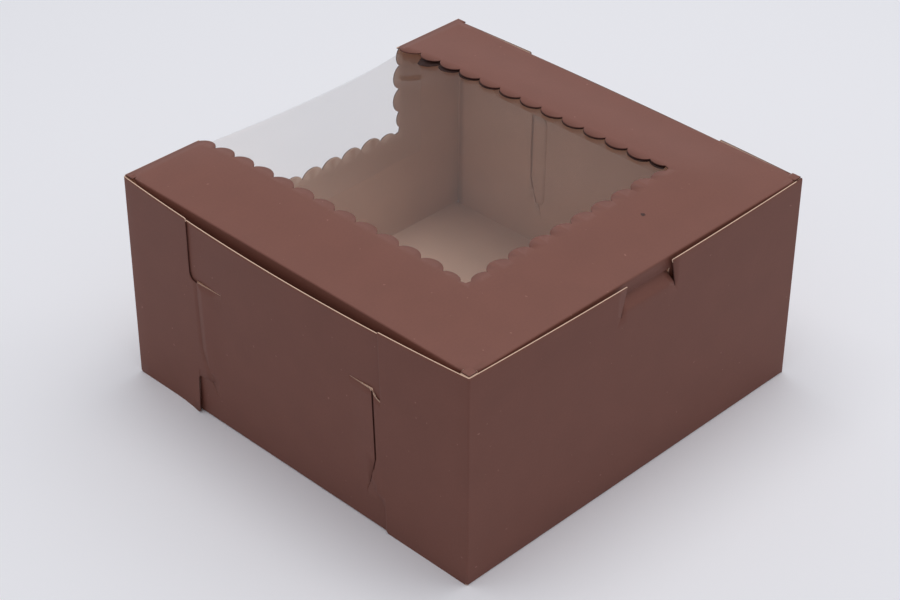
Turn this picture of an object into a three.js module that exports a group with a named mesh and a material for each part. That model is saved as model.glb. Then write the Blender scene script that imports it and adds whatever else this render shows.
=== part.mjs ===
import * as THREE from 'three';

// Bakery box with a window that wraps over its hinge, in millimetres, +Z up.
// The origin is the centre of the base on the floor. The front wall is at -Y and the hinge at +Y.

// Box and board
const WIDTH = 203.2; // across the two locked end walls
const DEPTH = 205; // from the front wall to the hinge wall
const HEIGHT = 102.8; // floor to the lid's fold lines
const BOARD = 0.5; // paperboard thickness
const FOLD_RADIUS = 0.2; // inside radius of every fold
const FOLD_FACETS = 3;
const LAYER_GAP = 0.3; // clearance between two board layers
const LID_GAP = 0.3; // clearance between the lid and the walls round it

// Heights of the tray's raw edges
const WALL_TOP = HEIGHT - 0.4; // front wall and corner flaps
const HINGE_WALL_TOP = HEIGHT - BOARD - LID_GAP;
const END_TOP = HEIGHT - 1.9; // end panels, a little lower than the flaps
const FLAP_FOOT = 0.1;
const FLAP_ROOT = 0.75; // the flaps' side folds start here

// Corner flaps and the locks of the end walls, as distances from the middle of the wall
const FLAP_END = 56.4; // free edge above and below the tongue
const TONGUE_END = 44; // tip behind the lip
const TONGUE_TOP = 70.6;
const TONGUE_ROOT = 14; // foot of the slanted lower root
const TONGUE_BOTTOM = 22.5;
const ROOT_HOOK = 2.6; // the tongue's upper root cuts in this far under its top edge
const LIP_END = 51.6;
const LIP_ROOT = 39;
const LIP_TOP = 72.2;
const SLOT_TOP = 72.6;
const SLOT_END = 58; // hidden side of the lock slot, behind the flap
const LIP_PUSH = 0.8; // the lip's free edge stands out
const TONGUE_DIP = 0.95; // the tongue's inward step at the lip's edge
const TONGUE_TIP_DIP = 1.5;
const CORNER_LIFT = 3; // the curled foot of one back flap
const LIFT_START = 75;
const LIFT_TOP = 23;

// How far the walls bow outward at the middle of their top edges
const END_BOW = 5;
const WALL_BOW = 1.75;

// Front lock: a tab between two slits, pressed in behind the lid's lip
const SLIT_TOP_X = 13.4;
const SLIT_FOOT_X = 16.6;
const SLIT_FOOT = 88.5;
const SLIT_WIDTH = 0.7;
const TAB_TOP = HEIGHT - 1.6;
const TAB_BEND_TOP = 95;
const TAB_PUSH = 1.75;

// Window: a notch in the lid's rear edge and in the hinge wall, with a scalloped rim
const WINDOW_HALF = 62; // cusps, from the middle
const WINDOW_FRONT = -62;
const WINDOW_FOOT = 56.8; // cusps in the hinge wall
const LOBE_PITCH = 12.6;
const LOBE_DEPTH = 4;
const LOBE_PHASE_LEFT = 0.2; // the cusp nearest the fold lies this far onto the lid
const LOBE_PHASE_RIGHT = 2.2;
const LOBE_FACETS = 5;
const RIM_CORNER = 3.2; // the lobes stop this far from the window's corners

// Lid
const LID_HALF = WIDTH / 2 - 2 * BOARD - LAYER_GAP - LID_GAP; // outer faces of its side folds
const LID_FRONT = DEPTH / 2 - BOARD - LID_GAP - 0.1; // outer face of its front fold
const LID_REAR = DEPTH / 2 - 0.4; // raw edge at the hinge
const LID_CORNER_X = WIDTH / 2 - BOARD - LID_GAP; // flat corners beyond the folds
const LID_CORNER_Y = DEPTH / 2 - BOARD - LID_GAP;
const CROWN = 3.9; // rise of the lid around the window
const SIDE_FLAP_DROP = 31;
const SIDE_FLAP_HALF = 88;
const SIDE_FLAP_TAPER = 8;
const TUCK_DROP = 30;
const TUCK_INSET = 6.8;
const TUCK_HALF = LID_CORNER_X - TUCK_INSET; // the tuck flap's fold is a little wider
const TUCK_TAPER = 5;
const TUCK_LEAN = 0.27; // slope of the tuck flap below its lip
const LIP_DROP = 6.1; // height of the upright part that the tab presses on
const NOTCH_DROP = 15;
const NOTCH_HALF = 17.4;

// Window film
const FILM = 0.2;
const FILM_GAP = 0.6; // clearance for the glue
const FILM_MARGIN = 13;
const FILM_SAG = 2.2;
const FILM_HINGE_GAP = 1.6;

const CHIPBOARD_RED = new THREE.Color().setRGB(0.478, 0.314, 0.29, THREE.SRGBColorSpace);

// Distances along the sheet's middle surface
const MID = BOARD / 2;
const BEND = FOLD_RADIUS + MID;
const ARC = (BEND * Math.PI) / 2;
const WALL_MID = DEPTH / 2 - MID;
const FLAP_MID = WIDTH / 2 - MID;
const END_MID = FLAP_MID - BOARD - LAYER_GAP;
const WALL_FOLD = WALL_MID - BEND;
const FLAP_FOLD = FLAP_MID - BEND;
const END_FOLD = END_MID - BEND;
const END_HALF = WALL_FOLD - 1.1; // half width of an end panel

// Cut a flat outline into triangles whose edges follow the lines u = c and v = c.
function flatPattern(outline, holes, linesU, linesV) {
  const points = [];
  for (const [u, v] of [outline, ...holes].flat()) {
    points.push([u, v]);
  }
  const toVectors = (loop) => loop.map(([u, v]) => new THREE.Vector2(u, v));
  const faces = THREE.ShapeUtils.triangulateShape(toVectors(outline), holes.map(toVectors));
  const isLeftTurn = ([a, b, c]) => area(points[a], points[b], points[c]) > 0;
  let triangles = faces.map((face) => (isLeftTurn(face) ? face : [face[0], face[2], face[1]]));
  for (const [axis, lines] of [[0, linesU], [1, linesV]]) {
    for (const line of lines) {
      triangles = splitAt(points, triangles, axis, line);
    }
  }
  const first = new Map();
  const same = points.map(([u, v], i) => {
    const key = `${u.toFixed(6)},${v.toFixed(6)}`;
    first.set(key, first.get(key) ?? i);
    return first.get(key);
  });
  const welded = triangles.map((triangle) => triangle.map((i) => same[i]));
  return mergeCells(points, welded.filter(([a, b, c]) => a !== b && b !== c && c !== a), linesU, linesV);
}

// Join the triangles inside each cell of the lines, then triangulate the cell again without spare points.
function mergeCells(points, triangles, linesU, linesV) {
  const cells = new Map();
  for (const triangle of triangles) {
    const [u, v] = [0, 1].map((axis) => triangle.reduce((sum, i) => sum + points[i][axis] / 3, 0));
    const key = `${linesU.filter((line) => line < u).length},${linesV.filter((line) => line < v).length}`;
    cells.set(key, [...(cells.get(key) ?? []), triangle]);
  }
  const kept = new Set(openEdges(triangles).flat());
  const onLine = ([u, v]) => linesU.includes(u) && linesV.includes(v);
  const result = [];
  for (const cell of cells.values()) {
    for (const loop of loops(points, openEdges(cell))) {
      const corners = withoutSpikes(loop.filter((i) => kept.has(i) || onLine(points[i])));
      if (corners.length < 3) {
        continue;
      }
      const flat = corners.map((i) => new THREE.Vector2(...points[i]));
      for (const face of THREE.ShapeUtils.triangulateShape(flat, [])) {
        const [a, b, c] = face.map((i) => corners[i]);
        const turn = area(points[a], points[b], points[c]);
        if (Math.abs(turn) > 1e-7) {
          result.push(turn > 0 ? [a, b, c] : [a, c, b]);
        }
      }
    }
  }
  const used = [...new Set(result.flat())];
  const renumber = new Map(used.map((i, k) => [i, k]));
  return {
    points: used.map((i) => points[i]),
    triangles: result.map((triangle) => triangle.map((i) => renumber.get(i))),
  };
}

function openEdges(triangles) {
  const counts = new Map();
  for (const [a, b, c] of triangles) {
    for (const [p, q] of [[a, b], [b, c], [c, a]]) {
      const key = `${Math.min(p, q)},${Math.max(p, q)}`;
      counts.set(key, (counts.get(key) ?? 0) + Math.sign(q - p));
    }
  }
  const edges = [];
  for (const [key, count] of counts) {
    const [low, high] = key.split(',').map(Number);
    for (let k = 0; k < Math.abs(count); k += 1) {
      edges.push(count > 0 ? [low, high] : [high, low]);
    }
  }
  return edges;
}

// Drop the points where a loop turns straight back on itself.
function withoutSpikes(loop) {
  const result = [...loop];
  for (let k = 0; k < result.length && result.length > 2; k += 1) {
    const [before, after] = [result.at(k - 1), result[(k + 1) % result.length]];
    if (before === after || before === result[k]) {
      result.splice(k, 1);
      k = -1;
    }
  }
  return result;
}

function loops(points, edges) {
  const next = new Map();
  for (const [p, q] of edges) {
    next.set(p, [...(next.get(p) ?? []), q]);
  }
  const result = [];
  for (const [start] of edges) {
    const loop = [];
    let [previous, at] = [null, start];
    while (next.get(at)?.length) {
      const ways = next.get(at);
      const turn = (to) => {
        if (previous === null) {
          return 0;
        }
        const back = Math.atan2(points[previous][1] - points[at][1], points[previous][0] - points[at][0]);
        const ahead = Math.atan2(points[to][1] - points[at][1], points[to][0] - points[at][0]);
        return (back - ahead + 4 * Math.PI - 1e-9) % (2 * Math.PI);
      };
      ways.sort((a, b) => turn(a) - turn(b));
      loop.push(at);
      [previous, at] = [at, ways.shift()];
    }
    if (loop.length > 2) {
      result.push(loop);
    }
  }
  return result;
}

function area(a, b, c) {
  return ((b[0] - a[0]) * (c[1] - a[1]) - (c[0] - a[0]) * (b[1] - a[1])) / 2;
}

function splitAt(points, triangles, axis, line) {
  const snap = 0.02;
  for (const point of points) {
    if (Math.abs(point[axis] - line) < snap) {
      point[axis] = line;
    }
  }
  const cuts = new Map();
  const cutEdge = (a, b) => {
    const key = a < b ? `${a},${b}` : `${b},${a}`;
    if (!cuts.has(key)) {
      const [p, q] = a < b ? [points[a], points[b]] : [points[b], points[a]];
      const t = (line - p[axis]) / (q[axis] - p[axis]);
      const cut = [p[0] + (q[0] - p[0]) * t, p[1] + (q[1] - p[1]) * t];
      cut[axis] = line;
      cuts.set(key, points.push(cut) - 1);
    }
    return cuts.get(key);
  };
  const result = [];
  for (const triangle of triangles) {
    const sides = triangle.map((i) => Math.sign(points[i][axis] - line));
    if (!(sides.includes(1) && sides.includes(-1))) {
      result.push(triangle);
      continue;
    }
    for (const side of [1, -1]) {
      const part = [];
      for (let k = 0; k < 3; k += 1) {
        const next = (k + 1) % 3;
        if (sides[k] !== -side) {
          part.push(triangle[k]);
        }
        if (sides[k] * sides[next] === -1) {
          part.push(cutEdge(triangle[k], triangle[next]));
        }
      }
      for (let k = 2; k < part.length; k += 1) {
        result.push([part[0], part[k - 1], part[k]]);
      }
    }
  }
  return result;
}

// Thicken a folded sheet. place(u, v) gives a point of the middle surface and its outward normal.
function sheetGeometry({ points, triangles }, place, thickness) {
  const positions = [];
  const placed = points.map(([u, v]) => place(u, v));
  for (const side of [0.5, -0.5]) {
    for (const { at, normal } of placed) {
      positions.push(...at.map((value, k) => value + normal[k] * thickness * side));
    }
  }
  const count = points.length;
  const index = [];
  const edges = new Map();
  for (const [a, b, c] of triangles) {
    index.push(a, b, c);
    index.push(count + a, count + c, count + b);
    for (const [p, q] of [[a, b], [b, c], [c, a]]) {
      edges.set(`${p},${q}`, [p, q]);
    }
  }
  for (const [p, q] of edges.values()) {
    if (!edges.has(`${q},${p}`)) {
      index.push(q, p, count + p);
      index.push(q, count + p, count + q);
    }
  }
  const geometry = new THREE.BufferGeometry();
  geometry.setAttribute('position', new THREE.Float32BufferAttribute(positions, 3));
  geometry.setIndex(index);
  geometry.computeVertexNormals();
  return geometry;
}

// Distance along and rise above a plane for a sheet that turns up by a right angle at start.
function foldUp(distance, start) {
  if (distance <= start) {
    return { along: distance, rise: 0, angle: 0 };
  }
  if (distance < start + ARC) {
    const angle = (distance - start) / BEND;
    return { along: start + BEND * Math.sin(angle), rise: BEND * (1 - Math.cos(angle)), angle };
  }
  return { along: start + BEND, rise: BEND + distance - start - ARC, angle: Math.PI / 2 };
}

function foldLines(start) {
  return Array.from({ length: FOLD_FACETS + 1 }, (_, k) => start + (ARC * k) / FOLD_FACETS);
}

function ramp(value, from, to) {
  const t = Math.min(Math.max((value - from) / (to - from), 0), 1);
  return t;
}

function smooth(value, from, to) {
  const t = ramp(value, from, to);
  return t * t * (3 - 2 * t);
}

// Scalloped edge from one cusp to the next ones, bulging to the left of the way it runs.
function scallops(stops, side) {
  const path = [];
  for (let k = 1; k < stops.length; k += 1) {
    const [a, b] = [stops[k - 1], stops[k]];
    const chord = Math.hypot(b[0] - a[0], b[1] - a[1]);
    const depth = LOBE_DEPTH * Math.min(1, (chord / LOBE_PITCH) ** 2);
    const normal = [(-(b[1] - a[1]) / chord) * side, ((b[0] - a[0]) / chord) * side];
    for (let step = k === 1 ? 0 : 1; step <= LOBE_FACETS; step += 1) {
      const t = step / LOBE_FACETS;
      const swell = depth * Math.sqrt(Math.max(0, 1 - (2 * t - 1) ** 2)) ** 1.3;
      const base = [a[0] + (b[0] - a[0]) * t, a[1] + (b[1] - a[1]) * t];
      path.push([base[0] + normal[0] * swell, base[1] + normal[1] * swell]);
    }
  }
  return path;
}

function arcPoints(centre, radius, from, to, steps = 3) {
  return Array.from({ length: steps + 1 }, (_, k) => {
    const angle = ((from + ((to - from) * k) / steps) * Math.PI) / 180;
    return [centre[0] + radius * Math.cos(angle), centre[1] + radius * Math.sin(angle)];
  });
}

// Sheet distances of a height in a wall, in an end panel, and of a place along a corner flap
const wallAt = (z) => WALL_FOLD + ARC - MID - BEND + z;
const endAt = (z) => END_FOLD + ARC - MID - BEND + z;
const flapAt = (y) => FLAP_FOLD + ARC - BEND + WALL_MID - y;

// One corner of the tray's blank, from the wall's top edge to the end panel's top edge
function cornerOutline() {
  const flap = ([y, z]) => [flapAt(y), wallAt(z)];
  const end = ([y, z]) => [endAt(z), y];
  const flapEdge = [
    ...arcPoints([FLAP_END + 2, WALL_TOP - 2], 2, 90, 180),
    [FLAP_END, TONGUE_TOP - ROOT_HOOK],
    [FLAP_END - 1.2, TONGUE_TOP - ROOT_HOOK + 0.5],
    [LIP_END + 0.6, TONGUE_TOP],
    ...arcPoints([TONGUE_END + 4, TONGUE_TOP - 4], 4, 90, 180),
    ...arcPoints([TONGUE_END + 4, TONGUE_BOTTOM + 4], 4, 180, 270),
    [FLAP_END - 7.5, TONGUE_BOTTOM],
    [FLAP_END, TONGUE_ROOT],
    [FLAP_END, FLAP_FOOT + 1],
    [FLAP_END + 1, FLAP_FOOT],
  ].map(flap);
  const rootU = FLAP_FOLD + ARC + 0.3;
  return [
    ...flapEdge,
    [rootU, wallAt(FLAP_FOOT)],
    [rootU, wallAt(FLAP_ROOT)],
    [FLAP_FOLD - 0.2, wallAt(FLAP_ROOT)],
    [FLAP_FOLD - 0.2, END_HALF + 0.5],
    [END_FOLD - 0.2, END_HALF + 0.5],
    [END_FOLD - 0.2, END_HALF],
    ...[[END_HALF, 4], [END_HALF - 1, END_TOP - 2], [END_HALF - 3, END_TOP]].map(end),
  ];
}

// The lock slot beside an end panel's lip
function slotOutline() {
  const slot = [
    [LIP_ROOT, LIP_TOP],
    [LIP_END, LIP_TOP],
    [LIP_END, 36],
    [47.6, 22.2],
    [45.6, 17.2],
    [46, 17],
    [48.2, 21.9],
    [FLAP_END - 0.3, TONGUE_ROOT - 0.9],
    [SLOT_END, TONGUE_ROOT - 0.9],
    [SLOT_END, TONGUE_TOP + 0.5],
    [LIP_END + 0.4, TONGUE_TOP + 0.5],
    [LIP_END + 0.4, SLOT_TOP],
    [LIP_ROOT, SLOT_TOP],
  ];
  return slot.map(([y, z]) => [endAt(z), y]);
}

function mirrored(path, signU, signV) {
  const result = path.map(([u, v]) => [u * signU, v * signV]);
  return signU * signV > 0 ? result.reverse() : result;
}

function slitOutline(sign) {
  const slit = [
    [SLIT_TOP_X + SLIT_WIDTH / 2, WALL_TOP],
    [SLIT_FOOT_X + 0.2, SLIT_FOOT],
    [SLIT_FOOT_X - 0.2, SLIT_FOOT],
    [SLIT_TOP_X - SLIT_WIDTH / 2, TAB_TOP],
  ].map(([x, z]) => [x * sign, -wallAt(z)]);
  return sign < 0 ? slit : slit.reverse();
}

// Cusps of the window rim, by distance from the hinge fold: plus on the lid, minus on the wall
const sideStops = (from, to, phase) => {
  const stops = [from];
  const first = Math.ceil((from - phase) / LOBE_PITCH + 0.35);
  for (let k = first; phase + k * LOBE_PITCH < to - LOBE_PITCH * 0.35; k += 1) {
    stops.push(phase + k * LOBE_PITCH);
  }
  return [...stops, to];
};
const rowHalf = WINDOW_HALF - RIM_CORNER;
const rowStops = Array.from({ length: 11 }, (_, k) => rowHalf - (2 * rowHalf * k) / 10);

function trayBlank() {
  const corner = cornerOutline();
  const [low, high] = [WINDOW_FOOT + RIM_CORNER - HEIGHT, HINGE_WALL_TOP - HEIGHT];
  const right = sideStops(low, high, LOBE_PHASE_RIGHT).reverse();
  const left = sideStops(low, high, LOBE_PHASE_LEFT);
  const rim = [
    ...scallops(right.map((s) => [WINDOW_HALF, wallAt(HEIGHT + s)]), -1),
    ...scallops(rowStops.map((x) => [x, wallAt(WINDOW_FOOT)]), -1),
    ...scallops(left.map((s) => [-WINDOW_HALF, wallAt(HEIGHT + s)]), -1),
  ];
  const outline = [
    ...slitOutline(-1),
    ...slitOutline(1),
    ...mirrored(corner, 1, -1),
    ...mirrored(corner, 1, 1),
    ...rim,
    ...mirrored(corner, -1, 1),
    ...mirrored(corner, -1, -1),
  ];
  const slot = slotOutline();
  const holes = [mirrored(slot, 1, 1), mirrored(slot, 1, -1), mirrored(slot, -1, 1), mirrored(slot, -1, -1)];
  const outer = [flapAt(88), flapAt(LIFT_START), flapAt(FLAP_END), flapAt(LIP_END), flapAt(48)];
  const linesU = [...foldLines(END_FOLD), ...foldLines(FLAP_FOLD), 25, 50, 75, ...outer];
  const linesV = [...foldLines(WALL_FOLD), LIP_ROOT, LIP_END, FLAP_END, 14, 27, 70, 80, 90];
  const frontLines = [SLIT_FOOT, 92, TAB_BEND_TOP].map((z) => -wallAt(z));
  const hingeLines = [12, LIFT_TOP, 40, 65, 82].map((z) => wallAt(z));
  return flatPattern(
    outline,
    holes,
    [...linesU, ...linesU.map((u) => -u), 0],
    [...linesV, ...linesV.map((v) => -v), 0, ...frontLines, ...hingeLines],
  );
}

// Outward bow of the end walls and of the front and hinge walls
function endBow(y, z) {
  return END_BOW * Math.max(0, 1 - ((2 * y) / DEPTH) ** 2) * ramp(z, 0, HEIGHT);
}

function frontBow(x, z) {
  return WALL_BOW * Math.max(0, 1 - ((2 * x) / WIDTH) ** 2) * ramp(z, 0, HEIGHT);
}

// The hinge wall is held straight at its foot and at the hinge, and bellies out between them.
function hingeBow(x, z) {
  return WALL_BOW * Math.max(0, 1 - ((2 * x) / WIDTH) ** 2) * Math.sin(Math.PI * ramp(z, 0, HEIGHT));
}

function placeTray(u, v) {
  const [a, b] = [Math.abs(u), Math.abs(v)];
  const [su, sv] = [Math.sign(u), Math.sign(v)];
  if (b > WALL_FOLD && a > FLAP_FOLD) {
    const side = foldUp(a, FLAP_FOLD);
    const y = WALL_MID - side.rise;
    const z = MID + BEND + b - WALL_FOLD - ARC;
    let out = endBow(y, z);
    out -= TONGUE_DIP * ramp(y, FLAP_END, LIP_END);
    out -= (TONGUE_TIP_DIP - TONGUE_DIP) * ramp(y, LIP_END, TONGUE_END);
    if (su < 0 && sv > 0) {
      out += CORNER_LIFT * ramp(y, LIFT_START, FLAP_END) * ramp(z, LIFT_TOP, FLAP_FOOT);
    }
    const normal = [Math.sin(side.angle) * su, Math.cos(side.angle) * sv, 0];
    return { at: [(side.along + out) * su, y * sv, z], normal };
  }
  if (b <= END_HALF + 0.2 && a > END_FOLD) {
    const end = foldUp(a, END_FOLD);
    const z = MID + end.rise;
    let out = endBow(b, z);
    if (b <= LIP_END && b >= LIP_ROOT && z <= LIP_TOP + 0.1) {
      out += LIP_PUSH * ramp(b, LIP_ROOT, LIP_END) * ramp(z, 17, 36);
    }
    return { at: [(end.along + out) * su, v, z], normal: [Math.sin(end.angle) * su, 0, -Math.cos(end.angle)] };
  }
  const wall = foldUp(b, WALL_FOLD);
  const z = MID + wall.rise;
  let out = 0;
  if (b > WALL_FOLD) {
    out = sv < 0 ? frontBow(a, z) : hingeBow(a, z);
  }
  const slitX = SLIT_TOP_X + (SLIT_FOOT_X - SLIT_TOP_X) * ramp(z, WALL_TOP, SLIT_FOOT);
  if (sv < 0 && z > SLIT_FOOT && a < slitX) {
    out -= (TAB_PUSH + WALL_BOW) * ramp(z, SLIT_FOOT, TAB_BEND_TOP);
  }
  return { at: [u, (wall.along + out) * sv, z], normal: [0, Math.sin(wall.angle) * sv, -Math.cos(wall.angle)] };
}

// Lid blank: u across, v toward the hinge, seen from above
const LID_SIDE_MID = LID_HALF - MID;
const LID_FRONT_MID = LID_FRONT - MID;
const SIDE_FOLD = LID_SIDE_MID - BEND;
const FRONT_FOLD = LID_FRONT_MID - BEND;

function lidBlank() {
  const sideTip = SIDE_FOLD + ARC - BEND - MID + SIDE_FLAP_DROP;
  const tuckTip = FRONT_FOLD + ARC - BEND - MID + TUCK_DROP;
  const dropAt = (drop) => FRONT_FOLD + ARC - BEND - MID + drop;
  const half = [
    [TUCK_HALF - TUCK_TAPER - 6, -tuckTip],
    [TUCK_HALF - TUCK_TAPER, -tuckTip + 6],
    [TUCK_HALF, -dropAt(LIP_DROP)],
    [TUCK_HALF + 2, -FRONT_FOLD - ARC],
    [TUCK_HALF + 2, -FRONT_FOLD + 0.3],
    [TUCK_HALF + 2.4, -FRONT_FOLD + 0.3],
    [TUCK_HALF + 2.4, -LID_CORNER_Y],
    [LID_CORNER_X, -LID_CORNER_Y],
    [LID_CORNER_X, -SIDE_FLAP_HALF - 2.4],
    [SIDE_FOLD - 0.3, -SIDE_FLAP_HALF - 2.4],
    [SIDE_FOLD - 0.3, -SIDE_FLAP_HALF - 2],
    [SIDE_FOLD + ARC, -SIDE_FLAP_HALF - 2],
    [sideTip - 5, -SIDE_FLAP_HALF + SIDE_FLAP_TAPER],
    [sideTip, -SIDE_FLAP_HALF + SIDE_FLAP_TAPER + 5],
    [sideTip, SIDE_FLAP_HALF - SIDE_FLAP_TAPER - 5],
    [sideTip - 5, SIDE_FLAP_HALF - SIDE_FLAP_TAPER],
    [SIDE_FOLD + ARC, SIDE_FLAP_HALF + 2],
    [SIDE_FOLD - 0.3, SIDE_FLAP_HALF + 2],
    [SIDE_FOLD - 0.3, SIDE_FLAP_HALF + 2.4],
    [LID_CORNER_X, SIDE_FLAP_HALF + 2.4],
    [LID_CORNER_X, LID_REAR],
  ];
  const [low, high] = [DEPTH / 2 - LID_REAR, DEPTH / 2 - WINDOW_FRONT - RIM_CORNER];
  const right = sideStops(low, high, LOBE_PHASE_RIGHT);
  const left = sideStops(low, high, LOBE_PHASE_LEFT).reverse();
  const rim = [
    ...scallops(right.map((s) => [WINDOW_HALF, DEPTH / 2 - s]), -1),
    ...scallops(rowStops.map((x) => [x, WINDOW_FRONT]), -1),
    ...scallops(left.map((s) => [-WINDOW_HALF, DEPTH / 2 - s]), -1),
  ];
  const outline = [...half, ...rim, ...half.map(([u, v]) => [-u, v]).reverse()];
  const notch = [
    [-SLIT_TOP_X + 0.2, -dropAt(LIP_DROP)],
    [-NOTCH_HALF, -dropAt(LIP_DROP)],
    [-NOTCH_HALF, -dropAt(NOTCH_DROP)],
    [NOTCH_HALF, -dropAt(NOTCH_DROP)],
    [NOTCH_HALF, -dropAt(LIP_DROP)],
    [SLIT_TOP_X - 0.2, -dropAt(LIP_DROP)],
  ];
  const linesU = [...foldLines(SIDE_FOLD), SIDE_FOLD - 28.3, SIDE_FOLD - 19.3, SIDE_FOLD - 9.3];
  const linesV = [94, 88, 78, 60, 20, -20, WINDOW_FRONT - 1.5, -72, -81, -91, -dropAt(LIP_DROP)];
  return flatPattern(
    outline,
    [notch],
    [...linesU, ...linesU.map((u) => -u), 0],
    [...linesV, ...foldLines(FRONT_FOLD).map((v) => -v)],
  );
}

// Rise of the lid: full around the window, none at the hinge and at the folded edges
function crown(x, y) {
  const across = 1 - smooth(Math.abs(x), WINDOW_HALF, SIDE_FOLD);
  const rear = 1 - Math.exp(-Math.max(0, LID_REAR - y) / 20);
  const front = 1 - smooth(-y, -WINDOW_FRONT, FRONT_FOLD);
  return CROWN * across * rear * front;
}

function placeLid(u, v) {
  const [a, b] = [Math.abs(u), -v];
  const su = Math.sign(u);
  const top = HEIGHT - MID;
  if (a > SIDE_FOLD && Math.abs(v) < SIDE_FLAP_HALF + 2.2) {
    const side = foldUp(a, SIDE_FOLD);
    return { at: [side.along * su, v, top - side.rise], normal: [Math.sin(side.angle) * su, 0, Math.cos(side.angle)] };
  }
  if (b > FRONT_FOLD && a < TUCK_HALF + 2.2) {
    const tuck = foldUp(b, FRONT_FOLD);
    const drop = MID + tuck.rise;
    const lean = Math.max(0, drop - LIP_DROP) * TUCK_LEAN;
    const normal = [0, -Math.sin(tuck.angle), Math.cos(tuck.angle)];
    return { at: [u, -tuck.along + lean, top - tuck.rise], normal };
  }
  return { at: [u, v, top + crown(u, v)], normal: [0, 0, 1] };
}

// Rounded rectangle of film, as a grid of cells
function filmPattern(halfWidth, from, to, cell) {
  const corner = 8;
  const outline = [
    [halfWidth, to],
    [-halfWidth, to],
    ...arcPoints([-halfWidth + corner, from + corner], corner, 180, 270),
    ...arcPoints([halfWidth - corner, from + corner], corner, 270, 360),
  ];
  const lines = (start, end) => {
    const steps = Math.round((end - start) / cell);
    return Array.from({ length: steps - 1 }, (_, k) => start + ((end - start) * (k + 1)) / steps);
  };
  return flatPattern(outline, [], lines(-halfWidth, halfWidth), lines(from, to));
}

const FILM_HALF = WINDOW_HALF + FILM_MARGIN;
const FILM_DEPTH = BOARD + FILM_GAP + FILM / 2;

// The film hangs from its glued margin and sags a little in the middle
function placeLidFilm(u, v) {
  const across = smooth(WINDOW_HALF - Math.abs(u), 0, WINDOW_HALF);
  const along = smooth(v - WINDOW_FRONT, 0, 60) * smooth(DEPTH / 2 - v, 0, 60);
  const z = HEIGHT - FILM_DEPTH + crown(u, v) - FILM_SAG * across * along;
  return { at: [u, v, z], normal: [0, 0, 1] };
}

function placeWallFilm(u, v) {
  return { at: [u, DEPTH / 2 - FILM_DEPTH + hingeBow(u, v), v], normal: [0, 1, 0] };
}

function mesh(name, geometry, material) {
  const result = new THREE.Mesh(geometry, material);
  result.name = name;
  return result;
}

const board = new THREE.MeshStandardMaterial({ color: CHIPBOARD_RED, roughness: 0.75, metalness: 0 });
const clear = new THREE.MeshStandardMaterial({
  color: new THREE.Color(0.95, 0.96, 0.96),
  roughness: 0.08,
  metalness: 0,
  transparent: true,
  opacity: 0.15,
});

const lidFilm = filmPattern(FILM_HALF, WINDOW_FRONT - FILM_MARGIN, DEPTH / 2 - FILM_HINGE_GAP, 16);
const wallFilm = filmPattern(FILM_HALF, WINDOW_FOOT - FILM_MARGIN, HEIGHT - FILM_HINGE_GAP - 0.6, 16);
wallFilm.triangles = wallFilm.triangles.map(([a, b, c]) => [a, c, b]);

const group = new THREE.Group();
group.name = 'pastry_box';
group.add(mesh('carton_tray', sheetGeometry(trayBlank(), placeTray, -BOARD), board));
group.add(mesh('carton_lid', sheetGeometry(lidBlank(), placeLid, BOARD), board));
group.add(mesh('window_film_lid', sheetGeometry(lidFilm, placeLidFilm, FILM), clear));
group.add(mesh('window_film_back', sheetGeometry(wallFilm, placeWallFilm, FILM), clear));

export default group;
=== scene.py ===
# %% [markdown]
# # A folded pastry box with a wrap-over window
#
# The box is two flat sheets of board and one sheet of clear film. Each board sheet is drawn flat, as it
# is die-cut, then every point of the flat sheet is carried to its place by one folding formula.
# The imported model gives the frame: the scripted sheets take its place, and the tray and lid sheets move
# with its bodies.

import math

import bpy
import numpy as np
from mathutils import Matrix
from mathutils.geometry import delaunay_2d_cdt


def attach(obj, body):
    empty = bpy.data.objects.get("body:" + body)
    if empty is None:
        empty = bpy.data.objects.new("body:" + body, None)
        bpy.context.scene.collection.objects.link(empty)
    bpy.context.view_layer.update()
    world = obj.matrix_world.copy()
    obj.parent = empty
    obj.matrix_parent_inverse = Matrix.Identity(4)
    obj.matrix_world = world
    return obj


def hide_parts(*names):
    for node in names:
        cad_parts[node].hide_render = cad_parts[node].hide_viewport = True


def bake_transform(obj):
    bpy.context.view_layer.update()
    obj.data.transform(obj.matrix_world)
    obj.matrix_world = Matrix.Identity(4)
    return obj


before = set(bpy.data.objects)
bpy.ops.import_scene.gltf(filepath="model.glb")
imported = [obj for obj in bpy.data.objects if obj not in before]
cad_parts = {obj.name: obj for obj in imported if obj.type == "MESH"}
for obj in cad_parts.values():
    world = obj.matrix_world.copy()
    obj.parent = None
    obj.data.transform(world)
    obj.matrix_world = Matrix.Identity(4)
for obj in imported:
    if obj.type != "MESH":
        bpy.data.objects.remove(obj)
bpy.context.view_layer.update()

# %% [markdown]
# ## Sizes
#
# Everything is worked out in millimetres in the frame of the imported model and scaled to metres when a
# mesh is made. The sheet's folds are quarter turns of its middle surface.

# %% Sizes of the box and its board
MM = 0.001
WIDTH, DEPTH, HEIGHT = 203.2, 205.0, 102.8
BOARD = 0.5
MID = BOARD / 2
BEND = 0.2 + MID
ARC = BEND * math.pi / 2
LAYER_GAP = LID_GAP = 0.3
WALL_MID = DEPTH / 2 - MID
FLAP_MID = WIDTH / 2 - MID
END_MID = FLAP_MID - BOARD - LAYER_GAP
WALL_FOLD, FLAP_FOLD, END_FOLD = WALL_MID - BEND, FLAP_MID - BEND, END_MID - BEND
END_HALF = WALL_FOLD - 1.1
print("folds start at", WALL_FOLD, FLAP_FOLD, END_FOLD)

# %% [markdown]
# ## Flat patterns
#
# A flat pattern is an outline, its holes, and a net of points. The net is cut along the fold lines and
# along a grid, so that the folded sheet can bow smoothly. Triangles outside the outline are dropped.

# %% Helpers for flat patterns
GRID = 6.5


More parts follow.
